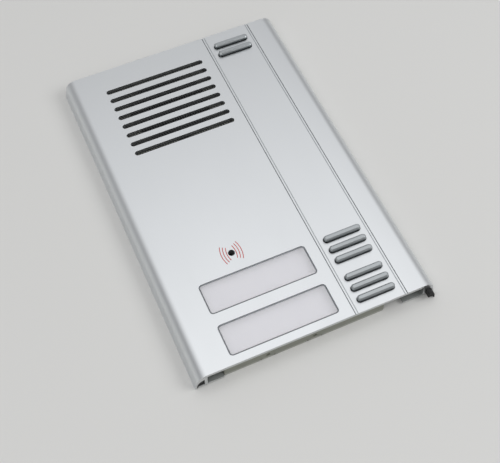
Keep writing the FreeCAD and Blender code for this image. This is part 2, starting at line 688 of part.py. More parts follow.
def chassis():
    """Moulded frame behind the face, which carries everything else."""
    body = new_body("chassis")
    block = sketch_on(body, offset=d.cover_wall)
    rectangle(block, (chassis_left + chassis_right) / 2, as_size(0),
              chassis_right - chassis_left, chassis_end * 2, d.chassis_corner)
    pad(body, block, face_back - d.cover_wall)

    inner_height = wall_front - d.cover_wall
    hollow = sketch_on(body, offset=d.cover_wall)
    between(hollow, inner_left, -inner_end, inner_right, inner_end)
    pocket(body, hollow, inner_height, up=True)
    corner = sketch_on(body, offset=d.cover_wall)
    between(corner, cable_left, -chassis_end - d.part_gap, chassis_right + d.part_gap, cable_top)
    pocket(body, corner, inner_height, up=True)

    bosses = sketch_on(body, offset=wall_front)
    for x, y in cover_screws:
        rectangle(bosses, x, y, d.boss_width, d.boss_width)
    pad(body, bosses, inner_height, down=True)
    pillars = sketch_on(body, offset=wall_front)
    for x, y in posts:
        rectangle(pillars, x, y, d.post_width, d.post_width)
    pad(body, pillars, wall_front - key_front, down=True)
    lock_low = d.cover_wall + d.part_gap
    blocks = sketch_on(body, offset=lock_low)
    for x in lock_screws:
        between(blocks, x - d.lock_boss / 2, -chassis_end,
                x + d.lock_boss / 2, d.lock_depth + d.side_wall - chassis_end)
    pad(body, blocks, (d.lock_height - lock_low) * 2)
    tabs = sketch_on(body, offset=d.cover_wall)
    for x in snap_tabs:
        between(tabs, x - d.tab_width / 2, -chassis_end, x + d.tab_width / 2, d.tab_length - chassis_end)
    pad(body, tabs, d.cover_wall - d.part_gap, down=True)

    # Recesses open to the face
    mesh_seat = sketch_on(body, offset=face_back)
    mesh_shape(mesh_seat, field_x, grille_y, d.part_gap)
    pocket(body, mesh_seat, d.mesh_wall)
    pane_seats = sketch_on(body, offset=face_back)
    for y in (upper_call_y, lower_call_y):
        window_shape(pane_seats, field_x, y, d.pane_lap + d.part_gap)
    pocket(body, pane_seats, d.pane_wall)
    trim_seat = sketch_on(body, offset=face_back)
    bar_base(trim_seat, first_row_y + d.row_pitch / 2, 2, d.part_gap)
    pocket(body, trim_seat, d.base_wall)

    # Openings through the wall
    through = sketch_on(body, offset=face_back)
    for y in (upper_call_y, lower_call_y):
        window_shape(through, field_x, y, d.guide_lap + d.part_gap)
    circle(through, field_x, grille_y, d.speaker_radius - d.ledge_width)
    circle(through, mic_x, mic_y, d.capsule_radius + d.boot_wall + d.part_gap)
    circles(through, studs, d.stud_radius + d.part_gap)
    between(through, inner_left + d.audio_rim, audio_bottom + d.audio_rim,
            inner_right - d.audio_rim, audio_top - d.audio_rim)
    pocket(body, through, d.front_wall)
    bell_ways = sketch_on(body, offset=face_back)
    for y in (upper_call_y, lower_call_y):
        bar_base(bell_ways, y, 3, d.base_gap)
    pocket(body, bell_ways, d.front_wall + d.bell_travel)
    rim_seat = sketch_on(body, offset=wall_front)
    circle(rim_seat, field_x, grille_y, d.speaker_radius + d.part_gap)
    pocket(body, rim_seat, d.front_wall - d.mesh_wall - d.ledge_wall, up=True)

    # Screw holes
    pilots = sketch_on(body, offset=d.cover_wall)
    circles(pilots, cover_screws, d.cover_shank)
    pocket(body, pilots, d.cover_grip, up=True)
    post_pilots = sketch_on(body, offset=key_front)
    circles(post_pilots, posts, d.small_shank)
    pocket(body, post_pilots, d.small_grip - d.board_wall, up=True)
    clip_pilots = sketch_on(body, offset=wall_front)
    circles(clip_pilots, [(field_x + x, grille_y + y) for x, y in clip_screws], d.small_shank)
    pocket(body, clip_pilots, clip_grip, up=True)
    lock_pilots = sketch_on(body, "XZ_Plane", offset=chassis_end)
    for x in lock_screws:
        circle(lock_pilots, x, d.lock_height, d.lock_pilot)
    pocket(body, lock_pilots, d.lock_depth)


def rear_cover():
    body = new_body("rear_cover")
    sheet = sketch_on(body)
    tray_outline(sheet)
    pad(body, sheet, d.cover_wall)
    pillars = sketch_on(body, offset=d.cover_wall)
    for x, y in clamps:
        rectangle(pillars, x, y, d.clamp_width, d.clamp_width)
    pad(body, pillars, audio_back - d.cover_wall)

    cuts = sketch_on(body, offset=d.cover_wall)
    for x in snap_tabs:
        between(cuts, x - d.tab_width / 2 - d.tab_room, -chassis_end - d.part_gap,
                x + d.tab_width / 2 + d.tab_room, d.tab_length + d.tab_room - chassis_end)
    inlet_half = d.terminal_width / 2 + d.inlet_margin
    between(cuts, strip_left - d.part_gap * 2, terminal_y - inlet_half,
            strip_right + d.inlet_width, terminal_y + inlet_half)
    for x in trimmers:
        circle(cuts, x, terminal_y, d.rotor_radius + d.part_gap)
    pocket(body, cuts, d.cover_wall)
    cut_screw_seats(body)


def cut_screw_seats(body):
    """Countersunk holes for the cover screws, from the wall side."""
    for radius, depth, taper in ((d.cover_shank, d.cover_wall, 0),
                                 (d.cover_head, d.cover_head - d.cover_shank, -45)):
        seats = sketch_on(body)
        circles(seats, cover_screws, radius)
        made = pocket(body, seats, depth, up=True)
        made.TaperAngle = taper


def cover_screw_set():
    body = new_body("cover_screws")
    heads = sketch_on(body)
    circles(heads, cover_screws, d.cover_head)
    made = pad(body, heads, d.cover_head - d.cover_shank)
    made.TaperAngle = -45
    shanks = sketch_on(body)
    circles(shanks, cover_screws, d.cover_shank)
    pad(body, shanks, d.cover_wall + d.cover_grip)


def disc(label, x, y, radius, low, high, bore=None):
    body = new_body(label, x, y)
    ring = sketch_on(body, offset=low)
    circle(ring, 0, 0, radius)
    if bore is not None:
        circle(ring, 0, 0, bore)
    pad(body, ring, high - low)


def grille_mesh():
    body = new_body("grille_mesh", field_x, grille_y)
    plate = sketch_on(body, offset=face_back - d.mesh_wall)
    mesh_shape(plate, 0, 0)
    pad(body, plate, d.mesh_wall)


def speaker_basket():
    """Pressed dish with a flat rim and four openings behind the cone."""
    body = new_body("speaker_basket", field_x, grille_y)
    revolve(body, [
        (cup_radius, pole_front - d.rim_wall), (cone_edge, basket_back),
        (d.speaker_radius, basket_back), (d.speaker_radius, basket_front),
        (cone_edge, basket_front), (cup_radius, pole_front),
    ])
    opening = sketch_on(body, offset=basket_front)
    inner, outer = cup_radius + d.rim_width, cone_edge - d.rim_width / 2
    rectangle(opening, (inner + outer) / 2, as_size(0), outer - inner, d.basket_opening)
    cut = pocket(body, opening, basket_front - cup_back)
    around(body, cut, 4)


def speaker_cone():
    """Cone, surround and dust cap, one thin sheet."""
    body = new_body("speaker_cone", field_x, grille_y)
    rim = d.speaker_radius - d.part_gap
    fold_out = cone_edge - d.part_gap
    fold_top = fold_out - d.rim_width / 2
    fold_in = fold_out - d.rim_width
    crest = rim_front + d.gasket_wall
    low = rim_front - d.cone_drop
    upper = [(rim, rim_front), (fold_out, rim_front), (fold_top, crest), (fold_in, rim_front),
             (d.coil_radius, low), (d.cap_radius, low + d.cap_height), (as_size(0), low + d.cap_height)]
    lower = [(radius, height - d.cone_wall) for radius, height in reversed(upper)]
    revolve(body, upper + lower)


def speaker():
    grille_mesh()
    speaker_basket()
    speaker_cone()
    x, y = field_x, grille_y
    disc("speaker_gasket", x, y, d.speaker_radius - d.part_gap, rim_front,
         rim_front + d.gasket_wall, d.speaker_radius - d.ledge_width)
    coil_top = rim_front - d.cone_drop - d.cone_wall
    disc("voice_coil", x, y, d.coil_radius + d.coil_wall, coil_top - d.coil_length, coil_top,
         d.coil_radius)
    disc("speaker_magnet", x, y, pole_radius, magnet_back, pole_back)
    disc("speaker_pole", x, y, pole_radius, pole_back, pole_front)
    cup = new_body("speaker_yoke", x, y)
    revolve(cup, [
        (as_size(0), cup_back), (cup_radius, cup_back), (cup_radius, pole_front),
        (cup_bore, pole_front), (cup_bore, magnet_back), (as_size(0), magnet_back),
    ])


def speaker_clips():
    """Three stepped clips that press the loudspeaker against its ledge."""
    body = new_body("speaker_clips", field_x, grille_y)
    body.Placement.Rotation = FreeCAD.Rotation(FreeCAD.Vector(0, 0, 1), 90)
    section = sketch_on(body, "XZ_Plane")
    foot = d.speaker_radius + d.part_gap * 2
    outer = clip_screw_radius * 2 - foot
    low = basket_back - d.clip_wall
    outline(section, [
        (clip_inner, low), (outer, low), (outer, wall_front),
        (foot, wall_front), (foot, basket_back), (clip_inner, basket_back),
    ])
    made = pad(body, section, d.clip_width, both_ways=True)
    hole = sketch_on(body, offset=wall_front)
    circle(hole, clip_screw_radius, 0, d.small_shank)
    cut = pocket(body, hole, wall_front - low)
    ring = around(body, made, 3)
    ring.Originals = [made, cut]


def speaker_clip_screws():
    body = new_body("speaker_clip_screws", field_x, grille_y)
    low = basket_back - d.clip_wall
    small_screws(body, clip_screws, low, wall_front - low + clip_grip)


def small_screws(body, places, under_head, grip):
    """Hexagon-head screws that are driven towards the face."""
    heads = sketch_on(body, offset=under_head)
    for x, y in places:
        hexagon(heads, x, y, d.small_head_width)
    pad(body, heads, d.small_head_height, down=True)
    shanks = sketch_on(body, offset=under_head)
    circles(shanks, places, d.small_shank)
    pad(body, shanks, grip)


def name_window(level, y):
    """Clear pane, blank card and light guide behind one name window opening."""
    pane = new_body(f"window_{level}", field_x, y)
    plate = sketch_on(pane, offset=face_back - d.pane_wall)
    window_shape(plate, 0, 0, d.pane_lap)
    pad(pane, plate, d.pane_wall)
    middle = sketch_on(pane, offset=face_back)
    rectangle(middle, as_size(0), as_size(0), field_width - d.pane_fit * 2,
              d.window_height - d.pane_fit * 2, d.window_corner - d.pane_fit)
    pad(pane, middle, d.face_wall - d.pane_drop)

    card_back = face_back - d.pane_wall - d.card_wall
    card = new_body(f"name_card_{level}", field_x, y)
    plate = sketch_on(card, offset=card_back)
    window_shape(plate, 0, 0, d.guide_lap)
    pad(card, plate, d.card_wall)

    guide_back = card_back - d.guide_wall
    guide = new_body(f"light_guide_{level}", field_x, y)
    plate = sketch_on(guide, offset=guide_back)
    window_shape(plate, 0, 0, d.guide_lap)
    pad(guide, plate, d.guide_wall)
    foot = sketch_on(guide, offset=guide_back)
    rectangle(foot, as_size(0), as_size(0), field_width + (d.guide_lap + d.guide_foot_reach) * 2,
              d.window_height - d.window_corner * 2)
    pad(guide, foot, wall_front - guide_back)
    pegs = sketch_on(guide, offset=guide_back)
    for side in (-1, 1):
        for end in (-1, 1):
            rectangle(pegs, (field_width / 2 - d.peg_inset) * side,
                      (d.window_height / 2 - d.peg_inset) * end, d.peg_width, d.peg_width)
    pad(guide, pegs, guide_back - key_front, down=True)


def window_lamps():
    body = new_body("window_lamps")
    chips = sketch_on(body, offset=key_front)
    for y in (upper_call_y, lower_call_y):
        for x in lamps:
            rectangle(chips, x, y, d.lamp_size, d.lamp_size)
    pad(body, chips, d.lamp_height)


def bar_group(label, middle_y, rows):
    """Bars that stand through the face, joined by one base behind it."""
    body = new_body(label, strip_x, middle_y)
    base = sketch_on(body, offset=face_back - d.base_wall)
    rectangle(base, as_size(0), as_size(0), d.bar_length + d.base_lap * 2,
              d.row_pitch * (rows - 1) + d.bar_height + d.base_lap * 2)
    pad(body, base, d.base_wall)
    bar = sketch_on(body, offset=face_back)
    stadium(bar, as_size(0), d.row_pitch * (rows - 1) / 2,
            d.bar_length - d.bar_gap * 2, d.bar_height - d.bar_gap * 2)
    bars = repeat(body, pad(body, bar, d.face_wall + d.bar_rise), bar, d.row_pitch, rows)
    doc.recompute()
    bevel = body.newObject("PartDesign::Chamfer", label + "_bevel")
    bevel.Base = (bars, top_edges(bars.Shape))
    bind(bevel, "Size", d.bar_edge)
    body.Tip = bevel


def top_edges(shape):
    """Names of the edges that lie in the shape's highest plane."""
    top = shape.BoundBox.ZMax
    return [f"Edge{number}" for number, edge in enumerate(shape.Edges, start=1)
            if edge.BoundBox.ZMin > top - 0.01]


dome_x = strip_x - d.dome_offset
dome_top = face_back - d.base_wall
cap_bottom = dome_top - d.dome_cap


def key_dome(level, y):
    """Rubber dome that carries the button and returns it, with its contact pill."""
    body = new_body(f"key_dome_{level}", dome_x, y)
    foot_top = key_front + d.dome_skirt
    revolve(body, [
        (d.dome_radius, key_front), (d.dome_radius, foot_top), (d.dome_neck, cap_bottom),
        (d.dome_neck, dome_top), (as_size(0), dome_top), (as_size(0), cap_bottom),
        (d.dome_neck - d.dome_skirt, cap_bottom), (d.dome_radius - d.dome_skirt, foot_top),
        (d.dome_radius - d.dome_skirt, key_front),
    ])
    disc(f"contact_pill_{level}", dome_x, y, d.pill_radius, cap_bottom - d.pill_height, cap_bottom)


def microphone():
    outer = d.capsule_radius + d.boot_wall
    top = key_front + d.capsule_height
    boot = new_body("microphone_boot", mic_x, mic_y)
    revolve(boot, [
        (d.boot_bore, face_back), (d.boot_bore, top), (d.capsule_radius, top),
        (d.capsule_radius, key_front), (outer, key_front), (outer, face_back),
    ])
    disc("microphone_capsule", mic_x, mic_y, d.capsule_radius, key_front, top)


def key_board():
    """Board behind the windows and buttons, notched around the locking screw bosses."""
    body = new_body("key_board")
    left, bottom = inner_left + d.part_gap, d.part_gap - inner_end
    notch_top = d.lock_depth + d.side_wall + d.part_gap - chassis_end
    edge = [(left, bottom)]
    for x in lock_screws:
        reach = d.lock_boss / 2 + d.part_gap
        edge += [(x - reach, bottom), (x - reach, notch_top), (x + reach, notch_top), (x + reach, bottom)]
    right = cable_left - d.channel_gap
    edge += [(right, bottom), (right, key_board_top), (left, key_board_top)]
    plate = sketch_on(body, offset=key_back)
    outline(plate, edge)
    circles(plate, posts, d.small_shank)
    pad(body, plate, d.board_wall)

    screws = new_body("key_board_screws")
    small_screws(screws, posts, key_back, d.small_grip)


def audio_board():
    body = new_body("audio_board")
    plate = sketch_on(body, offset=audio_back)
    between(plate, inner_left + d.part_gap, audio_bottom, inner_right - d.part_gap, audio_top)
    pad(body, plate, d.board_wall)


strip_left = terminal_x - d.pole_pitch * d.terminal_poles / 2 - d.strip_cheek
strip_right = terminal_x + d.pole_pitch * d.terminal_poles / 2 + d.strip_cheek


def terminal_strip():
    """Push-in terminals: a wire hole and a release slot for each pole."""
    body = new_body("terminal_strip")
    low, high = terminal_y - d.terminal_width / 2, terminal_y + d.terminal_width / 2
    block = sketch_on(body, offset=audio_back)
    between(block, strip_left, low, strip_right, high)
    pad(body, block, d.terminal_height, down=True)
    first = terminal_x - d.pole_pitch * (d.terminal_poles - 1) / 2
    back = audio_back - d.terminal_height
    wire = sketch_on(body, "XZ_Plane", offset=-low)
    rectangle(wire, first, back + d.terminal_height / 2, d.wire_hole, d.wire_hole_height)
    repeat(body, pocket(body, wire, d.wire_hole_depth), wire, d.pole_pitch, d.terminal_poles,
           "H_Axis", backwards=False)
    release = sketch_on(body, offset=back)
    rectangle(release, first, terminal_y + d.terminal_width / 4, d.release_width, d.release_length)
    repeat(body, pocket(body, release, d.release_depth, up=True), release,
           d.pole_pitch, d.terminal_poles, "H_Axis", backwards=False)


trimmer_back = audio_back - d.trimmer_height
rotor_back = trimmer_back - d.part_gap


def trimmer_bodies():
    body = new_body("trimmer_bodies")
    cases = sketch_on(body, offset=audio_back)
    for x in trimmers:
        rectangle(cases, x, terminal_y, d.trimmer_size, d.trimmer_size)
    pad(body, cases, d.trimmer_height, down=True)
    bores = sketch_on(body, offset=trimmer_back)
    for x in trimmers:
        circle(bores, x, terminal_y, d.rotor_radius + d.rotor_gap)
    pocket(body, bores, d.rotor_height - d.part_gap + d.rotor_gap, up=True)


def trimmer_rotor(label, x):
    body = new_body(label, x, terminal_y)
    knob = sketch_on(body, offset=rotor_back)
    circle(knob, 0, 0, d.rotor_radius)
    pad(body, knob, d.rotor_height)
    slot = sketch_on(body, offset=rotor_back)
    rectangle(slot, as_size(0), as_size(0), (d.rotor_radius + d.part_gap) * 2, d.driver_slot)
    pocket(body, slot, d.driver_slot, up=True)


def audio_parts():
    cans = new_body("capacitors", terminal_x)
    ends = sketch_on(cans, "XZ_Plane", offset=-d.can_length / 2 - parts_y)
    for number in (-1, 0, 1):
        circle(ends, d.can_pitch * number, audio_back - d.can_radius, d.can_radius)
    pad(cans, ends, d.can_length)

    chips = new_body("audio_chips", trimmers[1], parts_y)
    plates = sketch_on(chips, offset=audio_back)
    for side in (-1, 1):
        rectangle(plates, d.chip_pitch / 2 * side, as_size(0), d.chip_width, d.chip_length)
    pad(chips, plates, d.chip_height, down=True)

    core = new_body("line_transformer", trimmers[0], parts_y)
    block = sketch_on(core, offset=audio_back)
    rectangle(block, as_size(0), as_size(0), d.core_size, d.core_length)
    pad(core, block, d.core_height, down=True)


def flat_cable(label, x, width, sheet, upper, lower):
    """Flat cable soldered at both ends, down the module from upper to lower. Each end is the y
    of the edge it comes over and the z of the cable's front there."""
    body = new_body(label, x)
    section = sketch_on(body, "YZ_Plane")
    (upper_y, upper_z), (lower_y, lower_z) = upper, lower
    outline(section, [
        (upper_y + d.solder_lap, upper_z), (upper_y, upper_z),
        (lower_y, lower_z), (lower_y - d.solder_lap, lower_z),
        (lower_y - d.solder_lap, lower_z - sheet), (lower_y, lower_z - sheet),
        (upper_y, upper_z - sheet), (upper_y + d.solder_lap, upper_z - sheet),
    ])
    pad(body, section, width, both_ways=True)


def build():
    front_profile()
    seal_strip("seal_strip_left", -1, -d.seal_inset)
    seal_strip("seal_strip_right", 1, d.seal_overhang)
    weld_studs()
    stud_nuts()
    chassis()
    rear_cover()
    cover_screw_set()
    speaker()
    speaker_clips()
    speaker_clip_screws()
    for level, y in (("upper", upper_call_y), ("lower", lower_call_y)):
        name_window(level, y)
        bar_group(f"bell_button_{level}", y, 3)
        key_dome(level, y)
    window_lamps()
    bar_group("trim_bars", first_row_y + d.row_pitch / 2, 2)
    microphone()
    key_board()
    audio_board()
    terminal_strip()
    trimmer_bodies()
    trimmer_rotor("trimmer_rotor_speaker", trimmers[0])
    trimmer_rotor("trimmer_rotor_microphone", trimmers[1])
    audio_parts()
    boot_edge = mic_x + d.capsule_radius + d.boot_wall
    flat_cable("board_link", boot_edge + d.link_room + d.link_width / 2, d.link_width, d.link_wall,
               (audio_bottom, audio_back), (key_board_top, key_front + d.link_wall))
    rim_edge = grille_y - d.speaker_radius
    flat_cable("speaker_lead", field_x, d.lead_width, d.lead_wall,
               (rim_edge, basket_back), (audio_top, audio_back))


def check_and_save():
    doc.recompute()
    for item in doc.Objects:
        if "Invalid" in item.State or "Error" in item.State:
            raise RuntimeError(f"{item.Name} failed: {item.State}")
    for body in sub_parts:
        if body.Shape.isNull() or not body.Shape.isValid():
            raise RuntimeError(f"{body.Label} has no valid shape")
    os.makedirs("parts", exist_ok=True)
    for body in sub_parts:
        body.Shape.exportStep(f"parts/{body.Label}.step")
        print(f"{body.Label}: {len(body.Shape.Solids)} solids, {body.Shape.Volume:.1f} mm3")


build()
check_and_save()
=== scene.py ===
"""Looks of a door intercom module: an extruded aluminium face with everything that it carries.

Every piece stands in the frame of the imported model, in metres. X runs to the right of the face,
Y up it and Z out of the wall.
"""

import json
import math

import bmesh
import bpy
from mathutils import Matrix, Vector


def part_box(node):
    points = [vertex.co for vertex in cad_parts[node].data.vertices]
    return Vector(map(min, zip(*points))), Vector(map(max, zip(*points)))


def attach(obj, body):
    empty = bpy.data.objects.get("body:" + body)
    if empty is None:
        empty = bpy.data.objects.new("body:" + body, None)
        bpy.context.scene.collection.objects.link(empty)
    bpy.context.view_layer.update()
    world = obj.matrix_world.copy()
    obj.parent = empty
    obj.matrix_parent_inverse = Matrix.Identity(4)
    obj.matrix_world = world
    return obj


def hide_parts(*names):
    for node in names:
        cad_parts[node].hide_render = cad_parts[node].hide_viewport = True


bl_info = {
    "name": "Door intercom module",
    "version": (1, 0, 0),
    "blender": (4, 5, 0),
    "location": "View3D > Sidebar > Intercom",
    "description": "Dresses the packed door intercom module and sets its studio",
    "category": "Object",
}

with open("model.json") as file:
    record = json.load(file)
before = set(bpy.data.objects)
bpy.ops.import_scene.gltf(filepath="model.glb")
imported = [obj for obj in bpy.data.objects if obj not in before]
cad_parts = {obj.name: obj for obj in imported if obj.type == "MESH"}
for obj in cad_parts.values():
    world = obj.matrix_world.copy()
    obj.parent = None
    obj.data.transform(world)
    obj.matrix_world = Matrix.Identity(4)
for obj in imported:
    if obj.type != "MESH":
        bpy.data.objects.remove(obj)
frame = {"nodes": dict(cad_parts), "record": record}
NODES = frame["nodes"]
SLOT_OF = {part["node"]: part["material_slot"] for part in frame["record"]["subparts"]}
BODY_OF = {
    node: body
    for body, members in frame["record"]["behaviour"]["bodies"].items()
    for node in members
}

MM = 0.001
# Points and heights nearer than this are taken as the same.
NEAR = 0.01 * MM
# How near the corners of a node's loose triangles are joined, and how far in degrees two of its
# faces may lean apart to be one flat.
WELD = 0.002 * MM
FLAT_ANGLE = 0.5

# The face: its front, the back of its front wall, and the middle of the web near each side.
FACE_FRONT = 11 * MM
WALL_BACK = 9 * MM
WEB_MIDDLE = 60 * MM
# The two pairs of fine grooves that run along it: the middle of each pair, and how far a pair
# reaches to either side and into the face.
GROOVE_PAIRS = (21 * MM, 48.8 * MM)
GROOVE_REACH = 1 * MM
GROOVE_DEPTH = 0.7 * MM

# The microphone hole, and the printed arcs on either side of it: the radius of each in
# millimetres and half of its angle in degrees. Their middle lies past the hole.
MICROPHONE = Vector((-21.9 * MM, -42.5 * MM, FACE_FRONT))
ARCS = ((11.05, 21), (12.6, 22), (14.1, 22.7))
ARC_MIDDLE = 8.6 * MM
ARC_STEPS = 16
INK_RISE = 0.012 * MM
INK_THICKNESS = 0.02 * MM

# A hole of the punched sheet: its radius as a share of the pitch.
HOLE_RADIUS = 0.34
HOLE_SEGMENTS = 8

# The cover screws and their cross recesses. A recess narrows to the given share at its floor.
COVER_SCREWS = 6
CROSS_REACH = 1.3 * MM
CROSS_WIDTH = 0.5 * MM
CROSS_DEPTH = 0.9 * MM
CROSS_TAPER = 0.55
SCREW_EDGE = 0.04 * MM

# The wave texture draws this many bands in a unit of length at a scale of 1.
BANDS_IN_A_UNIT = 3.18
# Sockets of a Mix node that hold its two colours and their mixture.
FIRST_COLOUR, SECOND_COLOUR, MIXED_COLOUR = 6, 7, 2

# The studio, in metres and watts. The sky is brightest above the face and a little towards its
# top end. Each level is given with how nearly a direction meets that middle, and the bright part
# is drawn out from left to right.
FLOOR_COLOUR = "#dadad8"
FLOOR_RADIUS = 6
FLOOR_DROP = 0.05 * MM
SKY_MIDDLE = Vector((0.06, 0.3, 0.95))
SKY_STRETCH = (0.4, 1, 1)
SKY_LEVELS = (
    (0.2, 0.58),
    (0.55, 0.46),
    (0.78, 0.32),
    (0.87, 0.38),
    (0.92, 0.6),
    (0.98, 1.04),
    (1.0, 1.49),
)
SKY_BLUE = 1.01
# The room is dimmer towards the bottom end of the module: by the Y of a direction, and how far.
DIM_FROM, DIM_TO, DIM_LEVEL = -0.6, 0.2, 0.42
SOFTBOX_SIZE = (1.3, 1.0)
SOFTBOXES = (("right", (1.4, -0.7, 1.4), 16.0), ("left", (-1.0, -0.8, 1.95), 13.0))

# The camera of the photograph.
SENSOR_WIDTH = 36
LENS = 68.76
CLIP = (0.01, 20)
CAMERA_PLACE = (-0.1113, -0.2728, 0.4357)
CAMERA_RIGHT = Vector((0.9139, -0.4060, -0.0053))
CAMERA_FORWARD = Vector((0.2076, 0.4784, -0.8533))


def linear(hex_colour):
    """The linear RGBA of a colour written as sRGB hex."""
    channels = [int(hex_colour[i : i + 2], 16) / 255 for i in (1, 3, 5)]
    return (
        *(c / 12.92 if c <= 0.04045 else ((c + 0.055) / 1.055) ** 2.4 for c in channels),
        1.0,
    )


def add(tree, kind, inputs=None, **settings):
    """Adds a shader node. A socket among the inputs is linked, and anything else is set."""
    node = tree.nodes.new(kind)
    for name, value in settings.items():
        setattr(node, name, value)
    for socket, value in (inputs or {}).items():
        if isinstance(value, bpy.types.NodeSocket):
            tree.links.new(value, node.inputs[socket])
        else:
            node.inputs[socket].default_value = value
    return node


def band_scale(pitch):
    """Scale of a wave texture whose bands follow at a pitch in millimetres along an axis."""
    return 1 / (pitch * MM) / BANDS_IN_A_UNIT


class Finish:
    """A material of one Principled shader, with the patterns that its surface shows.

    Blasted, eroded and drawn surfaces have a grain finer than a tenth of a millimetre. It is
    drawn as patches of 0.2 to 0.7 mm, as coarse as it needs to be to show.
    """

    def __init__(self, name, colour, metallic=0.0, roughness=0.5, **sockets):
        self.material = bpy.data.materials.new(name)
        self.material.use_nodes = True
        self.tree = self.material.node_tree
        self.tree.nodes.clear()
        self.shader = add(self.tree, "ShaderNodeBsdfPrincipled")
        self.colour = linear(colour)
        self.roughness = roughness
        add(self.tree, "ShaderNodeOutputMaterial", {"Surface": self.shader.outputs["BSDF"]})
        self.place = add(self.tree, "ShaderNodeTexCoord").outputs["Object"]
        self.shader.inputs["Base Color"].default_value = self.colour
        self.shader.inputs["Metallic"].default_value = metallic
        self.shader.inputs["Roughness"].default_value = roughness
        for socket, value in sockets.items():
            self.shader.inputs[socket.replace("_", " ")].default_value = value

    def patches(self, size, stretch=(1, 1, 1), detail=3.0):
        """Random patches of a size in millimetres, drawn out along the axes by stretch."""
        inputs = {"Vector": self.place, "Scale": [1 / share for share in stretch]}
        drawn = add(self.tree, "ShaderNodeMapping", inputs).outputs["Vector"]
        inputs = {"Vector": drawn, "Scale": 1 / (size * MM), "Detail": detail}
        return add(self.tree, "ShaderNodeTexNoise", inputs).outputs["Fac"]

    def height(self):
        """Distance from the wall."""
        return add(self.tree, "ShaderNodeSeparateXYZ", {"Vector": self.place}).outputs["Z"]

    def relief(self, height, *patterns):
        """Bumps of a height in millimetres from one pattern after another."""
        normal = None
        for pattern in patterns:
            inputs = {"Height": pattern, "Distance": height * MM}
            if normal:
                inputs["Normal"] = normal
            normal = add(self.tree, "ShaderNodeBump", inputs).outputs["Normal"]
        self.tree.links.new(normal, self.shader.inputs["Normal"])

    def tint(self, pattern, second, low=0.35, high=0.65):
        """Lets the colour wander to a second one where the pattern is high."""
        ramp = {"Value": pattern, "From Min": low, "From Max": high}
        share = add(self.tree, "ShaderNodeMapRange", ramp).outputs["Result"]
        inputs = {"Factor": share, FIRST_COLOUR: self.colour, SECOND_COLOUR: linear(second)}
        mix = add(self.tree, "ShaderNodeMix", inputs, data_type="RGBA")
        self.tree.links.new(mix.outputs[MIXED_COLOUR], self.shader.inputs["Base Color"])

    def polish(self, pattern, spread):
        """Lets the roughness wander either way by half the spread."""
        inputs = {
            "Value": pattern,
            "From Min": 0.25,
            "From Max": 0.75,
            "To Min": self.roughness - spread / 2,
            "To Max": self.roughness + spread / 2,
        }
        rough = add(self.tree, "ShaderNodeMapRange", inputs).outputs["Result"]
        self.tree.links.new(rough, self.shader.inputs["Roughness"])


def anodised_face():
    """Extruded aluminium, blasted and clear anodised: a frosted pale grey with faint draw lines."""
    look = Finish("satin_anodised_aluminium", "#e0e3e5", 1.0, 0.36)
    draw_lines = look.patches(0.7, (1, 80, 1))
    blast = look.patches(0.35)
    look.relief(0.0012, draw_lines, blast)
    look.polish(look.patches(24, (1, 3, 1)), 0.05)
    return look.material


def groove_painted_shade():
    """Inside of the fine grooves: a darker, duller copy of the face metal that paints shade into
    them, so the deeper groove of a pair reads as a dark line and the other as a faint one."""
    look = Finish("groove_shade_aluminium", "#94999b", 1.0, 0.5)
    # Painted shade: darkest at the floor of a groove, paler towards its rim.
    look.tint(look.height(), "#bfc4c6", 10.55 * MM, 10.7 * MM)
    look.relief(0.002, look.patches(0.5, (1, 60, 1)))
    return look.material


def sawn_end():
    """Bare aluminium where the extrusion was sawn: brighter, with fine wavering marks of the
    blade. They run slantwise, so they come out 0.32 mm apart."""
    look = Finish("sawn_aluminium", "#d2d4d5", 1.0, 0.3)
    marks = add(
        look.tree,
        "ShaderNodeTexWave",
        {"Vector": look.place, "Scale": band_scale(0.2246), "Distortion": 1.5, "Detail": 2.0},
        wave_type="BANDS",
        bands_direction="DIAGONAL",
    )
    look.relief(0.004, marks.outputs["Fac"])
    return look.material


def extruded_inside():
    """Inside of the extrusion: left as drawn, so it is duller and scatters the light that enters
    at the open ends."""
    look = Finish("dull_inner_aluminium", "#8f9391", 0.3, 0.6)
    look.relief(0.003, look.patches(0.6, (1, 60, 1)))
    look.tint(look.patches(9, (1, 8, 1)), "#868a88")
    return look.material


def anodised_bar():
    """Bars of the same aluminium, anodised a tone darker, with the fine drag of the mill along
    them."""
    look = Finish("anodised_bar_aluminium", "#b4b9bb", 1.0, 0.4)
    look.relief(0.0015, look.patches(0.3, (40, 1, 1)))
    look.polish(look.patches(3, (4, 1, 1)), 0.08)
    return look.material


def bar_flank_shade():
    """Sides of the bars: a dark copy of the bar metal that paints shade on them, near black at the
    foot where it enters the face.
    """
    look = Finish("bar_flank_painted_shade", "#191a1b", 1.0, 0.45)
    # Painted shade: near black at the foot, a dark grey from 11.7 mm up.
    look.tint(look.height(), "#6f7476", 11.1 * MM, 11.7 * MM)
    look.relief(0.0015, look.patches(0.3, (40, 1, 1)))
    return look.material


def seal_rubber():
    """Extruded rubber: matt black with dull streaks along it."""
    look = Finish("extruded_rubber", "#1c1c1d", 0.0, 0.78, Specular_IOR_Level=0.4)
    look.relief(0.01, look.patches(0.5, (1, 30, 1)))
    look.tint(look.patches(6, (1, 8, 1)), "#2b2b2c")
    return look.material


def dome_silicone():
    """Moulded silicone: soft grey that scatters a little light."""
    look = Finish("moulded_silicone", "#c2c2c0", 0.0, 0.55, Subsurface_Weight=0.15)
    look.shader.inputs["Subsurface Radius"].default_value = [MM] * 3
    look.relief(0.004, look.patches(0.4))
    look.tint(look.patches(2), "#b7b7b5")
    return look.material


def carbon_pill():
    """Carbon filled rubber: dull black with specks."""
    look = Finish("carbon_rubber", "#3a3a3b", 0.0, 0.7)
    look.relief(0.006, look.patches(0.12))
    look.tint(look.patches(0.2), "#2a2a2b")
    return look.material


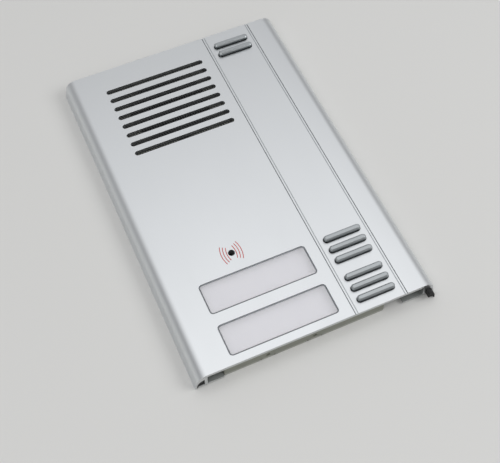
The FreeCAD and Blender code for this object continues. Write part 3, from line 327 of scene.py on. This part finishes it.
def chassis_plastic():
    """ABS from an eroded mould with a fine even grain: its olive grey is set darker than the
    plastic, as painted shade for the end that shows under the face.
    """
    look = Finish("moulded_abs_chassis", "#8b8d82", 0.0, 0.52)
    look.relief(0.012, look.patches(0.35))
    look.tint(look.patches(18), "#84867b")
    look.polish(look.patches(9), 0.08)
    return look.material


def cover_plastic():
    """ABS of the rear cover: a paler grey, a touch duller where it is handled."""
    look = Finish("moulded_abs_cover", "#abaca6", 0.0, 0.55)
    look.relief(0.014, look.patches(0.4))
    look.tint(look.patches(25), "#a7a8a2")
    look.polish(look.patches(12), 0.1)
    return look.material


def zinc_steel():
    """Steel under bright zinc: bluish grey, with the soft cloud of its passivation."""
    look = Finish("zinc_plated_steel", "#cdcfd0", 1.0, 0.34)
    look.relief(0.002, look.patches(0.25))
    look.tint(look.patches(1.8), "#b7bcc2")
    look.polish(look.patches(1.2), 0.12)
    return look.material


def black_sheet():
    """Punched steel sheet under matt black paint, with slight orange peel."""
    look = Finish("black_painted_sheet", "#151617", 0.0, 0.6)
    look.relief(0.006, look.patches(0.5))
    look.tint(look.patches(4), "#1b1c1d")
    return look.material


def cone_paper():
    """Pressed black paper: fibres and a dry surface."""
    look = Finish("pressed_paper_cone", "#2e2d2c", 0.0, 0.85)
    look.relief(0.03, look.patches(0.5, detail=6))
    look.tint(look.patches(0.6, detail=6), "#42403e")
    return look.material


def coil_copper():
    """Enamelled copper wire, wound turn on turn: 0.2 mm rings with a warm gloss."""
    look = Finish("enamelled_copper", "#b8683a", 1.0, 0.3)
    wire = add(
        look.tree,
        "ShaderNodeTexWave",
        {"Vector": look.place, "Scale": band_scale(0.2)},
        wave_type="BANDS",
        bands_direction="Z",
    )
    look.relief(0.05, wire.outputs["Fac"])
    look.tint(look.patches(1), "#a2552b")
    return look.material


def plated_magnet():
    """Nickel plated magnet and cup: dark grey metal with a cloudy plate."""
    look = Finish("nickel_plated_magnet", "#8d8e90", 1.0, 0.38)
    look.relief(0.003, look.patches(0.3))
    look.tint(look.patches(3), "#7b7c7f")
    return look.material


def clear_acrylic():
    """Polished acrylic pane: clear, with a milky haze of fine scratches that evens out the card."""
    look = Finish("hazy_clear_acrylic", "#f9f9fc", 0.0, 0.14, IOR=1.49, Alpha=0.45)
    look.polish(look.patches(7), 0.06)
    return look.material


def pane_edge_shade():
    """Milled rebate round the front of a pane: an opaque grey that paints the edge dark as shade,
    so it reads as a dark line."""
    look = Finish("pane_rebate_painted_shade", "#8d9194", 0.0, 0.2, IOR=1.49)
    look.polish(look.patches(2), 0.1)
    return look.material


def name_card():
    """Uncoated card, a faint lilac grey: soft fibres, no lettering."""
    look = Finish("uncoated_card", "#f2f1f6", 0.0, 0.8)
    look.relief(0.008, look.patches(0.3, detail=6))
    look.tint(look.patches(12), "#edecf3")
    return look.material


def frosted_acrylic():
    """Frosted acrylic light guide: milky white, and soft where light enters it."""
    look = Finish("frosted_acrylic", "#eceded", 0.0, 0.45, Subsurface_Weight=0.4)
    look.shader.inputs["Subsurface Radius"].default_value = [2 * MM] * 3
    look.relief(0.004, look.patches(0.3))
    look.tint(look.patches(5), "#e4e5e6")
    return look.material


def lamp_body():
    """Small lamp: white moulded body, clouded yellow by its resin."""
    look = Finish("white_lamp_body", "#f0ede2", 0.0, 0.35)
    look.tint(look.patches(0.8), "#efd98a")
    look.relief(0.003, look.patches(0.2))
    return look.material


def drawn_can():
    """Deep drawn aluminium can: bright, with fine upright draw marks."""
    look = Finish("drawn_aluminium_can", "#cfd1d2", 1.0, 0.28)
    look.relief(0.002, look.patches(0.2, (1, 1, 20)))
    look.polish(look.patches(1.5), 0.1)
    return look.material


def board_mask():
    """Glass fibre board under green solder mask: glossy, with tracks showing a tone lighter."""
    look = Finish("green_solder_mask", "#24583a", 0.0, 0.3, Coat_Weight=0.3, Coat_Roughness=0.15)
    bare = (0, 0, 0, 1)
    tracks = add(
        look.tree,
        "ShaderNodeTexBrick",
        {
            "Vector": look.place,
            "Scale": 1 / (5 * MM),
            "Mortar Size": 0.055,
            "Brick Width": 0.9,
            "Row Height": 0.32,
            "Color1": bare,
            "Color2": bare,
            "Mortar": (1, 1, 1, 1),
        },
    )
    look.relief(0.02, tracks.outputs["Fac"])
    look.tint(tracks.outputs["Fac"], "#3f8057", 0.3, 0.7)
    return look.material


def terminal_plastic():
    """Glass filled polyamide of the terminals: dull green."""
    look = Finish("moulded_polyamide", "#4c7c5c", 0.0, 0.45)
    look.relief(0.006, look.patches(0.3))
    look.tint(look.patches(4), "#447354")
    return look.material


def trimmer_case():
    """Moulded case of a trimmer: plain blue with a faint grain."""
    look = Finish("moulded_trimmer_case", "#4a66a0", 0.0, 0.4)
    look.relief(0.004, look.patches(0.25))
    look.tint(look.patches(2), "#425d96")
    return look.material


def trimmer_knob():
    """Ivory polyacetal rotor: smooth, with a waxy gloss."""
    look = Finish("ivory_polyacetal", "#efece2", 0.0, 0.3, Subsurface_Weight=0.1)
    look.shader.inputs["Subsurface Radius"].default_value = [MM] * 3
    look.tint(look.patches(1), "#e7e3d6")
    look.polish(look.patches(1), 0.08)
    return look.material


def shrunk_sleeve():
    """Shrunk plastic sleeve of the capacitors: glossy blue black, faintly wrinkled."""
    look = Finish("shrunk_sleeve", "#2c2e3c", 0.0, 0.25, Coat_Weight=0.4)
    look.relief(0.01, look.patches(1.5, (1, 6, 1)))
    look.tint(look.patches(3), "#363948")
    return look.material


def chip_resin():
    """Moulded resin of the chips: black with a fine eroded grain."""
    look = Finish("moulded_chip_resin", "#2b2b2c", 0.0, 0.6)
    look.relief(0.006, look.patches(0.15))
    look.tint(look.patches(1), "#343435")
    return look.material


def sintered_core():
    """Sintered core of the line transformer: dull dark grey, slightly porous."""
    look = Finish("sintered_ferrite", "#47484a", 0.0, 0.62)
    look.relief(0.015, look.patches(0.25, detail=6))
    look.tint(look.patches(0.8), "#3b3c3e")
    return look.material


def ribbon():
    """Grey ribbon cable: a ridge for each wire, 0.9 mm apart."""
    look = Finish("grey_ribbon_cable", "#b5b5b1", 0.0, 0.45)
    wires = add(
        look.tree,
        "ShaderNodeTexWave",
        {"Vector": look.place, "Scale": band_scale(0.9)},
        wave_type="BANDS",
        bands_direction="X",
    )
    look.relief(0.25, wires.outputs["Fac"])
    look.tint(wires.outputs["Fac"], "#a4a4a0", 0.1, 0.3)
    return look.material


def printed_red():
    """Screen printed red on the face: thin matt ink."""
    look = Finish("screen_printed_red", "#c8605c", 0.0, 0.6)
    look.tint(look.patches(1.5), "#cf6c67")
    look.polish(look.patches(0.6), 0.1)
    return look.material


# The material slots of the record, and after them the six finishes that the scene adds.
FINISHES = {
    "satin_aluminium": anodised_face,
    "bar_metal": anodised_bar,
    "seal_rubber": seal_rubber,
    "dome_rubber": dome_silicone,
    "contact_carbon": carbon_pill,
    "chassis_plastic": chassis_plastic,
    "cover_plastic": cover_plastic,
    "zinc_steel": zinc_steel,
    "black_sheet": black_sheet,
    "cone_paper": cone_paper,
    "coil_copper": coil_copper,
    "magnet": plated_magnet,
    "clear_plastic": clear_acrylic,
    "card": name_card,
    "frosted_plastic": frosted_acrylic,
    "lamp": lamp_body,
    "capsule": drawn_can,
    "board": board_mask,
    "terminal_plastic": terminal_plastic,
    "trimmer_case": trimmer_case,
    "trimmer_knob": trimmer_knob,
    "sleeve": shrunk_sleeve,
    "chip": chip_resin,
    "core": sintered_core,
    "flat_cable": ribbon,
    "flank": bar_flank_shade,
    "groove": groove_painted_shade,
    "sawn": sawn_end,
    "inside": extruded_inside,
    "print": printed_red,
    "pane_edge": pane_edge_shade,
}
made = {}


def finish(slot):
    """The material of a slot, made once."""
    if slot not in made:
        made[slot] = FINISHES[slot]()
    return made[slot]


def piece(shape, name, slot, body="housing", stands_for=(), extra=()):
    """Makes a piece of a bmesh, with its materials, body and the nodes that it stands for."""
    mesh = bpy.data.meshes.new(name)
    shape.to_mesh(mesh)
    shape.free()
    if "custom_normal" in mesh.attributes:
        mesh.attributes.remove(mesh.attributes["custom_normal"])
    for key in (slot, *extra):
        mesh.materials.append(finish(key))
    mesh.shade_smooth()
    made_piece = bpy.data.objects.new(name, mesh)
    bpy.context.scene.collection.objects.link(made_piece)
    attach(made_piece, body)
    if stands_for:
        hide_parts(*stands_for)
    return made_piece


def merged(node):
    """A CAD node as a bmesh with its loose triangles joined and its flats dissolved."""
    shape = bmesh.new()
    shape.from_mesh(NODES[node].data)
    bmesh.ops.remove_doubles(shape, verts=shape.verts, dist=WELD)
    limit = math.radians(FLAT_ANGLE)
    bmesh.ops.dissolve_limit(shape, angle_limit=limit, verts=shape.verts, edges=shape.edges)
    for face in shape.faces:
        face.material_index = 0
    return shape


def rounded(shape, node, name, width, angle=40, extra=(), keep_sharp=None):
    """Stands a shape in for a node, with its edges above an angle in degrees rounded by a live
    bevel. The edges that keep_sharp picks stay as they are."""
    weight = shape.edges.layers.float.new("bevel_weight_edge")
    for edge in shape.edges:
        if edge.calc_face_angle(math.pi) > math.radians(angle):
            if keep_sharp and keep_sharp(edge):
                edge.smooth = False
            else:
                edge[weight] = 1.0
    made_piece = piece(shape, name, SLOT_OF[node], BODY_OF[node], (node,), extra)
    bevel = made_piece.modifiers.new("edge rounding", "BEVEL")
    bevel.width = width
    bevel.segments = 2
    bevel.limit_method = "WEIGHT"
    bevel.harden_normals = True
    return made_piece


def face_forwards(shape):
    """Turns every face of an open, flat shape away from the wall."""
    bmesh.ops.recalc_face_normals(shape, faces=shape.faces)
    for face in shape.faces:
        if face.normal.z < 0:
            face.normal_flip()


def cut_cross(shape, head, reach, width, depth):
    """Sinks a tapered cross recess into the flat of a screw head."""
    centre = head.calc_center_median()
    into = -head.normal
    rim = list(head.edges)
    bmesh.ops.delete(shape, geom=[head], context="FACES_ONLY")
    # Each of the four arms has the two corners of its end and the inner corner that follows.
    corners = ((reach, -width / 2), (reach, width / 2), (width / 2, width / 2))
    outline = bmesh.ops.create_circle(shape, segments=4 * len(corners), radius=reach)["verts"]
    for number, v in enumerate(outline):
        arm, corner = divmod(number, len(corners))
        turn = Matrix.Rotation(math.radians(90 * arm), 3, "Z")
        v.co = centre + turn @ Vector((*corners[corner], 0))
    cross = [shape.edges.get(ends) for ends in zip(outline, outline[1:] + outline[:1])]
    bmesh.ops.triangle_fill(shape, edges=rim + cross, use_beauty=True, normal=-into)
    floor = bmesh.ops.edgeloop_fill(shape, edges=cross)["faces"]
    bottom = bmesh.ops.extrude_discrete_faces(shape, faces=floor)["faces"][0].verts
    bmesh.ops.translate(shape, verts=bottom, vec=into * depth)
    taper = (CROSS_TAPER, CROSS_TAPER, 1)
    bmesh.ops.scale(shape, verts=bottom, vec=taper, space=Matrix.Translation(-centre))


def dress(*nodes):
    """Gives CAD nodes that stay as they are the material of their slot."""
    for node in nodes:
        mesh = NODES[node].data
        mesh.materials.clear()
        mesh.materials.append(finish(SLOT_OF[node]))
        mesh.polygons.foreach_set("material_index", [0] * len(mesh.polygons))


class IntercomSizes(bpy.types.PropertyGroup):
    """Sizes that a user would change."""

    face_edge: bpy.props.FloatProperty(
        name="Face edge",
        description="Rounding of the cut edges of the face",
        default=0.15 * MM,
        unit="LENGTH",
    )
    bar_edge: bpy.props.FloatProperty(
        name="Bar edge",
        description="Rounding of the edges of the bars",
        default=0.1 * MM,
        unit="LENGTH",
    )
    plastic_edge: bpy.props.FloatProperty(
        name="Plastic edge",
        description="Rounding of the edges of moulded pieces",
        default=0.15 * MM,
        unit="LENGTH",
    )
    card_gap: bpy.props.FloatProperty(
        name="Card gap",
        description="Air between a name card and its pane",
        default=0.08 * MM,
        unit="LENGTH",
    )
    pane_edge: bpy.props.FloatProperty(
        name="Pane edge",
        description="Width of the rebate round the front of a pane",
        default=0.45 * MM,
        unit="LENGTH",
    )
    pane_step: bpy.props.FloatProperty(
        name="Pane step",
        description="Depth of the rebate round the front of a pane",
        default=0.5 * MM,
        unit="LENGTH",
    )
    hole_pitch: bpy.props.FloatProperty(
        name="Hole pitch",
        description="Middle to middle of the holes in the sheet behind the grille",
        default=1.5 * MM,
        unit="LENGTH",
    )
    ink_width: bpy.props.FloatProperty(
        name="Ink width",
        description="Width of the printed arcs beside the microphone",
        default=0.45 * MM,
        unit="LENGTH",
    )


class IntercomColours(bpy.types.PropertyGroup):
    """Colours that a user would change."""

    floor: bpy.props.FloatVectorProperty(
        name="Floor",
        description="Colour of the floor",
        subtype="COLOR",
        default=linear(FLOOR_COLOUR)[:3],
        min=0.0,
        max=1.0,
    )


def beside_groove(point):
    """True in the space that a pair of fine lengthwise grooves takes up."""
    aside = min(abs(point.x - middle) for middle in GROOVE_PAIRS)
    return point.z > FACE_FRONT - GROOVE_DEPTH and aside < GROOVE_REACH


def in_groove(edge):
    """True for an edge of one of the grooves, which stay crisp."""
    return all(beside_groove(v.co) for v in edge.verts)


class INTERCOM_OT_face(bpy.types.Operator):
    """Extruded face with rounded openings and sawn ends."""

    bl_idname = "intercom.face"
    bl_label = "Face"

    def execute(self, context):
        node = "front_profile"
        width = context.scene.intercom_sizes.face_edge
        extra = ("sawn", "groove", "inside")
        face = rounded(merged(node), node, "face", width, extra=extra, keep_sharp=in_groove)
        sawn, groove, inside = (extra.index(key) + 1 for key in extra)
        end = max(v.co.y for v in face.data.vertices)
        for polygon in face.data.polygons:
            place = polygon.center
            if abs(place.y) > end - NEAR:
                polygon.material_index = sawn
            # The faces inside the grooves get the finish that paints shade into them.
            elif beside_groove(place) and place.z < FACE_FRONT - NEAR:
                polygon.material_index = groove
            elif place.z < WALL_BACK + NEAR and abs(place.x) < WEB_MIDDLE:
                polygon.material_index = inside
        return {"FINISHED"}


class INTERCOM_OT_call_mark(bpy.types.Operator):
    """Three printed arcs on either side of the microphone hole."""

    bl_idname = "intercom.call_mark"
    bl_label = "Microphone mark"

    def execute(self, context):
        width = context.scene.intercom_sizes.ink_width
        shape = bmesh.new()
        for side in (-1, 1):
            middle = MICROPHONE - Vector((side * ARC_MIDDLE, 0, 0))
            for radius, half in ARCS:
                direction = Matrix.Rotation(math.radians(-half), 3, "Z") @ Vector((side, 0, 0))
                inner = shape.verts.new(middle + direction * (radius * MM - width / 2))
                outer = shape.verts.new(middle + direction * (radius * MM + width / 2))
                edge = shape.edges.new((inner, outer))
                bmesh.ops.spin(
                    shape,
                    geom=[inner, outer, edge],
                    cent=middle,
                    axis=(0, 0, 1),
                    angle=math.radians(2 * half),
                    steps=ARC_STEPS,
                )
        face_forwards(shape)
        bmesh.ops.translate(shape, verts=shape.verts, vec=(0, 0, INK_RISE))
        mark = piece(shape, "microphone_mark", "print")
        ink = mark.modifiers.new("ink", "SOLIDIFY")
        ink.thickness = INK_THICKNESS
        ink.offset = -1
        return {"FINISHED"}


class INTERCOM_OT_grille(bpy.types.Operator):
    """Punched sheet behind the grille slots."""

    bl_idname = "intercom.grille"
    bl_label = "Grille sheet"

    def execute(self, context):
        node = "grille_mesh"
        pitch = context.scene.intercom_sizes.hole_pitch
        low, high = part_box(node)
        size = high - low
        counts = [round(size[axis] / pitch) for axis in (0, 1)]
        cell = Vector((size.x / counts[0], size.y / counts[1], 1))
        # One cell: a round hole, and a rim around it that is drawn out to a square.
        shape = bmesh.new()
        bmesh.ops.create_circle(shape, cap_ends=True, segments=HOLE_SEGMENTS, radius=HOLE_RADIUS)
        rim = list(shape.verts)
        hole = bmesh.ops.extrude_discrete_faces(shape, faces=shape.faces[:])["faces"]
        bmesh.ops.delete(shape, geom=hole, context="FACES_ONLY")
        for v in rim:
            v.co *= 0.5 / max(abs(v.co.x), abs(v.co.y))
        bmesh.ops.scale(shape, vec=cell, verts=shape.verts)
        corner = Vector((low.x + cell.x / 2, low.y + cell.y / 2, high.z))
        bmesh.ops.translate(shape, vec=corner, verts=shape.verts)
        face_forwards(shape)
        sheet = piece(shape, "grille_sheet", SLOT_OF[node], stands_for=(node,))
        for axis, name in enumerate(("holes along", "holes across")):
            row = sheet.modifiers.new(name, "ARRAY")
            row.count = counts[axis]
            row.use_relative_offset = False
            row.use_constant_offset = True
            row.constant_offset_displace = [cell[axis] if axis == side else 0 for side in range(3)]
            row.use_merge_vertices = True
            row.merge_threshold = NEAR
        wall = sheet.modifiers.new("sheet wall", "SOLIDIFY")
        wall.thickness = size.z
        wall.offset = -1
        sheet.data.shade_flat()
        return {"FINISHED"}


class INTERCOM_OT_bars(bpy.types.Operator):
    """Trim bars and bell buttons with softened edges."""

    bl_idname = "intercom.bars"
    bl_label = "Bars and bell buttons"

    def execute(self, context):
        width = context.scene.intercom_sizes.bar_edge
        for node in ("trim_bars", "bell_button_upper", "bell_button_lower"):
            shape = merged(node)
            for face in shape.faces:
                # Upright faces above the face take the flank finish, with its painted shade.
                upright = abs(face.normal.z) < 0.3
                outside = max(v.co.z for v in face.verts) > FACE_FRONT
                face.material_index = int(upright and outside)
            rounded(shape, node, node + "_shown", width, angle=30, extra=("flank",))
        return {"FINISHED"}


class INTERCOM_OT_windows(bpy.types.Operator):
    """Name windows, their cards and light guides."""

    bl_idname = "intercom.windows"
    bl_label = "Name windows"

    def execute(self, context):
        sizes = context.scene.intercom_sizes
        gap = sizes.card_gap
        step = sizes.pane_step
        lean = gap / 4
        for level in ("upper", "lower"):
            dress(f"name_card_{level}", f"light_guide_{level}")
            node = f"window_{level}"
            shape = merged(node)
            # The back lifts off the card.
            back = min(v.co.z for v in shape.verts)
            for v in shape.verts:
                if v.co.z < back + gap:
                    v.co.z += gap
            # The front sinks to the floor of the rebate, and its middle rises again inside it.
            front = max(shape.faces, key=lambda face: face.calc_center_median().z)
            bmesh.ops.translate(shape, verts=front.verts, vec=(0, 0, -step))
            floor = bmesh.ops.inset_region(shape, faces=[front], thickness=sizes.pane_edge)
            wall = bmesh.ops.inset_region(shape, faces=[front], thickness=lean, depth=step)
            # The rebate faces get the opaque grey that paints the edge dark as shade.
            for face in floor["faces"] + wall["faces"]:
                face.material_index = 1
            rounded(shape, node, node + "_pane", gap, extra=("pane_edge",))
        return {"FINISHED"}


class INTERCOM_OT_seals(bpy.types.Operator):
    """Wall seals along both sides."""

    bl_idname = "intercom.seals"
    bl_label = "Wall seals"

    def execute(self, context):
        width = context.scene.intercom_sizes.plastic_edge
        for node in ("seal_strip_left", "seal_strip_right"):
            rounded(merged(node), node, node + "_shown", width)
        return {"FINISHED"}


class INTERCOM_OT_chassis(bpy.types.Operator):
    """Chassis and rear cover."""

    bl_idname = "intercom.chassis"
    bl_label = "Chassis and cover"

    def execute(self, context):
        width = context.scene.intercom_sizes.plastic_edge
        for node in ("chassis", "rear_cover"):
            rounded(merged(node), node, node + "_shown", width)
        return {"FINISHED"}


class INTERCOM_OT_screws(bpy.types.Operator):
    """Countersunk screws of the rear cover, each with a cross recess."""

    bl_idname = "intercom.screws"
    bl_label = "Cover screws"

    def execute(self, context):
        node = "cover_screws"
        shape = merged(node)
        back = min(v.co.z for v in shape.verts)
        heads = [
            face
            for face in shape.faces
            if face.normal.z < -0.99 and face.calc_center_median().z < back + NEAR
        ]
        if len(heads) != COVER_SCREWS:
            raise RuntimeError(f"{len(heads)} screw heads in place of {COVER_SCREWS}")
        for head in heads:
            cut_cross(shape, head, CROSS_REACH, CROSS_WIDTH, CROSS_DEPTH)
        bmesh.ops.recalc_face_normals(shape, faces=shape.faces)
        rounded(shape, node, node + "_shown", SCREW_EDGE)
        return {"FINISHED"}


class INTERCOM_OT_insides(bpy.types.Operator):
    """Everything else that shows as the CAD has it: boards, loudspeaker, terminals and the rest."""

    bl_idname = "intercom.insides"
    bl_label = "Insides"

    def execute(self, context):
        shown = [node for node, part in NODES.items() if not part.hide_render]
        dress(*shown)
        return {"FINISHED"}


def lay_floor(scene, colour):
    """A wide disc of pale paper, just under the module."""
    shape = bmesh.new()
    bmesh.ops.create_circle(shape, cap_ends=True, segments=64, radius=FLOOR_RADIUS)
    mesh = bpy.data.meshes.new("floor")
    shape.to_mesh(mesh)
    shape.free()
    look = Finish("pale_paper_floor", FLOOR_COLOUR, 0.0, 0.9, Specular_IOR_Level=0.1)
    look.shader.inputs["Base Color"].default_value = (*colour, 1)
    mesh.materials.append(look.material)
    floor = bpy.data.objects.new("floor", mesh)
    floor.location.z = -FLOOR_DROP
    scene.collection.objects.link(floor)


def light_sky(scene):
    """A grey sky with a soft bright band above the face, dimmer towards the bottom end."""
    world = bpy.data.worlds.new("studio")
    world.use_nodes = True
    scene.world = world
    tree = world.node_tree
    tree.nodes.clear()
    direction = add(tree, "ShaderNodeTexCoord").outputs["Generated"]
    inputs = {0: direction, 1: SKY_STRETCH}
    drawn = add(tree, "ShaderNodeVectorMath", inputs, operation="MULTIPLY")
    inputs = {0: drawn.outputs["Vector"]}
    unit = add(tree, "ShaderNodeVectorMath", inputs, operation="NORMALIZE")
    inputs = {0: unit.outputs["Vector"], 1: SKY_MIDDLE.normalized()}
    towards = add(tree, "ShaderNodeVectorMath", inputs, operation="DOT_PRODUCT")
    glow = add(tree, "ShaderNodeValToRGB", {"Fac": towards.outputs["Value"]})
    # A new ramp has two stops already.
    stops = glow.color_ramp.elements
    for number, (place, level) in enumerate(SKY_LEVELS):
        stop = stops[number] if number < 2 else stops.new(place)
        stop.position = place
        stop.color = (level, level, level * SKY_BLUE, 1)
    inputs = {
        "Value": add(tree, "ShaderNodeSeparateXYZ", {"Vector": direction}).outputs["Y"],
        "From Min": DIM_FROM,
        "From Max": DIM_TO,
        "To Min": DIM_LEVEL,
        "To Max": 1.0,
    }
    dimmed = add(tree, "ShaderNodeMapRange", inputs).outputs["Result"]
    inputs = {"Color": glow.outputs["Color"], "Strength": dimmed}
    light = add(tree, "ShaderNodeBackground", inputs)
    add(tree, "ShaderNodeOutputWorld", {"Surface": light.outputs[0]})


def hang_softboxes(scene):
    """Two wide lamps, one on each side, turned to the module."""
    for side, place, watts in SOFTBOXES:
        lamp = bpy.data.lights.new("softbox_" + side, "AREA")
        lamp.shape = "RECTANGLE"
        lamp.size, lamp.size_y = SOFTBOX_SIZE
        lamp.energy = watts
        softbox = bpy.data.objects.new("softbox_" + side, lamp)
        softbox.location = place
        softbox.rotation_euler = (-Vector(place)).to_track_quat("-Z", "Y").to_euler()
        scene.collection.objects.link(softbox)


def place_camera(scene):
    """The camera, with the photograph's lens and place."""
    data = bpy.data.cameras.new("camera")
    data.sensor_width = SENSOR_WIDTH
    data.lens = LENS
    data.clip_start, data.clip_end = CLIP
    right = CAMERA_RIGHT.normalized()
    forward = CAMERA_FORWARD.normalized()
    up = right.cross(forward).normalized()
    turn = Matrix((right, up, -forward)).transposed()
    camera = bpy.data.objects.new("camera", data)
    camera.matrix_world = Matrix.Translation(CAMERA_PLACE) @ turn.to_4x4()
    scene.collection.objects.link(camera)
    scene.camera = camera


class INTERCOM_OT_stage(bpy.types.Operator):
    """Pale floor, soft studio light and the camera."""

    bl_idname = "intercom.stage"
    bl_label = "Stage"

    def execute(self, context):
        scene = context.scene
        lay_floor(scene, scene.intercom_colours.floor)
        light_sky(scene)
        hang_softboxes(scene)
        place_camera(scene)
        scene.view_settings.view_transform = "Standard"
        return {"FINISHED"}


class INTERCOM_PT_sidebar(bpy.types.Panel):
    """Steps of the module's looks, and the sizes and colours that they use."""

    bl_label = "Door intercom module"
    bl_idname = "INTERCOM_PT_sidebar"
    bl_space_type = "VIEW_3D"
    bl_region_type = "UI"
    bl_category = "Intercom"

    def draw(self, context):
        for operator in OPERATORS:
            self.layout.operator(operator.bl_idname)
        for group in (context.scene.intercom_sizes, context.scene.intercom_colours):
            for name in group.__annotations__:
                self.layout.prop(group, name)


OPERATORS = (
    INTERCOM_OT_face,
    INTERCOM_OT_call_mark,
    INTERCOM_OT_grille,
    INTERCOM_OT_bars,
    INTERCOM_OT_windows,
    INTERCOM_OT_seals,
    INTERCOM_OT_chassis,
    INTERCOM_OT_screws,
    INTERCOM_OT_insides,
    INTERCOM_OT_stage,
)


def register():
    for kind in (IntercomSizes, IntercomColours, *OPERATORS, INTERCOM_PT_sidebar):
        bpy.utils.register_class(kind)
    bpy.types.Scene.intercom_sizes = bpy.props.PointerProperty(type=IntercomSizes)
    bpy.types.Scene.intercom_colours = bpy.props.PointerProperty(type=IntercomColours)


def unregister():
    del bpy.types.Scene.intercom_colours
    del bpy.types.Scene.intercom_sizes
    for kind in (INTERCOM_PT_sidebar, *reversed(OPERATORS), IntercomColours, IntercomSizes):
        bpy.utils.unregister_class(kind)


def main():
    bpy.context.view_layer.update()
    register()
    for operator in OPERATORS:
        group, name = operator.bl_idname.split(".")
        getattr(getattr(bpy.ops, group), name)()
    bpy.context.view_layer.update()


if __name__ == "__main__":
    main()
